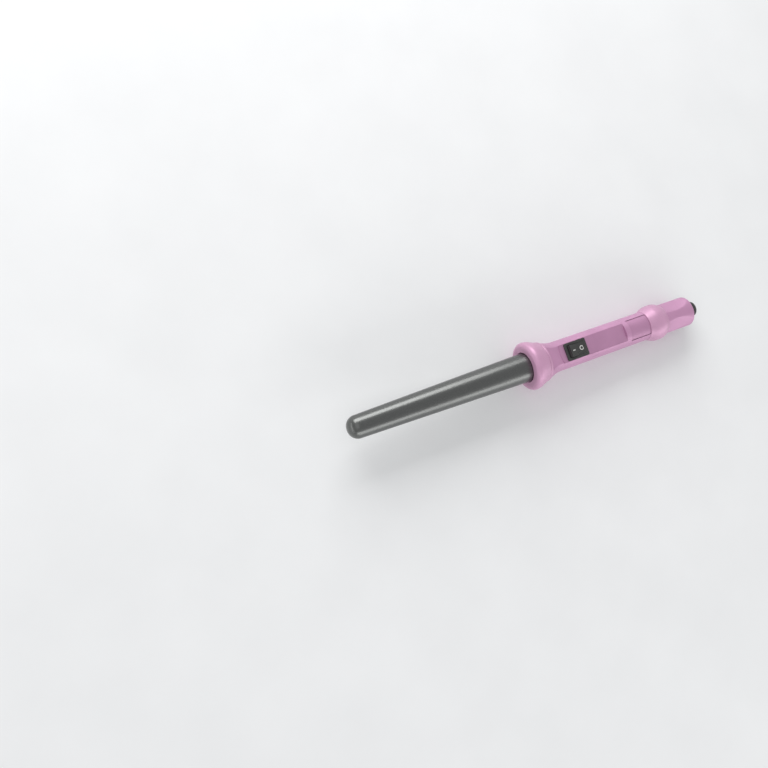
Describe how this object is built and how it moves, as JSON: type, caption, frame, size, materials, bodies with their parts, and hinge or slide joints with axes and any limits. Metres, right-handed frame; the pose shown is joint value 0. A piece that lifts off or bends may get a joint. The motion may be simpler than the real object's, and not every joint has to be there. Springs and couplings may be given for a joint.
{
  "type": "curling wand",
  "caption": "Clipless electric curling wand: tapered heated barrel, flared hand guard, slim two-part handle with a rocker switch, scalloped tail and swivelling cord inlet.",
  "frame": {"origin": "middle of the wand's bounding box seen from above, on the surface that the collar's rim rests on", "axes": "+X runs along the wand from the barrel's tip to the cord inlet, +Z points out of the switch panel"},
  "size_m": [0.3496, 0.0416, 0.0415],
  "materials": {
    "ceramic_coat": "dark graphite ceramic and tourmaline coating, satin with a metallic sheen",
    "lilac_shell": "orchid lilac, satin soft-touch lacquer",
    "lilac_collar": "lighter orchid lilac, satin",
    "lilac_panel": "deeper orchid lilac, fine satin",
    "black_switch": "black, lightly glossed",
    "black_plastic": "black, fine texture",
    "brown_insulator": "heat-resistant moulding, matt",
    "aluminium": "extruded, bare",
    "steel": "zinc plated",
    "brass": "bare",
    "ceramic": "sintered heating ceramic, matt and opaque",
    "film": "amber insulating film",
    "white_nylon": "natural nylon",
    "lead_sleeve": "woven glass sleeving over wire",
    "clear_boot": "translucent boot"
  },
  "bodies": {
    "handle": {"barrel": "ceramic_coat", "heat_spreader_upper": "aluminium", "heat_spreader_lower": "aluminium", "heating_stones": "ceramic", "electrode_strips": "brass", "insulation_film": "film", "wedge_strip": "steel", "thermal_fuse": "steel", "fuse_sleeve": "lead_sleeve", "root_bush": "brown_insulator", "root_screws": "steel", "front_collar": "lilac_collar", "bead_ring": "lilac_collar", "handle_shell_top": "lilac_shell", "handle_shell_bottom": "lilac_shell", "handle_screws": "steel", "switch_panel": "lilac_panel", "rear_pad": "lilac_panel", "switch_body": "black_switch", "switch_terminals": "brass", "terminal_boots": "clear_boot", "fuse_lead": "lead_sleeve", "neutral_lead": "lead_sleeve", "live_lead": "lead_sleeve", "brush_holder": "brown_insulator", "brushes": "brass", "rear_collar": "lilac_collar", "tail_housing": "lilac_shell", "tail_screw": "steel", "swivel_bearing": "white_nylon", "thrust_washer": "white_nylon"},
    "rocker": {"rocker": "black_switch", "plunger": "white_nylon", "plunger_spring": "steel"},
    "contact": {"contact_arm": "brass"},
    "swivel": {"swivel_drum": "black_plastic", "slip_rings": "brass", "cord_gland": "black_plastic"}
  },
  "joints": [
    {"name": "rocker_tilt", "type": "hinge", "parent": "handle", "child": "rocker", "pos_m": [0.03797, 0, 0.03077], "axis": [0, -1, 0], "range_deg": [0, 16]},
    {"name": "contact_tilt", "type": "hinge", "parent": "handle", "child": "contact", "pos_m": [0.03797, 0, 0.02387], "axis": [0, 1, 0], "range_deg": [0, 20]},
    {"name": "cord_swivel", "type": "hinge", "parent": "handle", "child": "swivel", "pos_m": [0.17, 0, 0.02077], "axis": [1, 0, 0], "continuous": true}
  ],
  "couplings": [
    {"joint": "contact_tilt", "follows": "rocker_tilt", "ratio": 1.25}
  ]
}
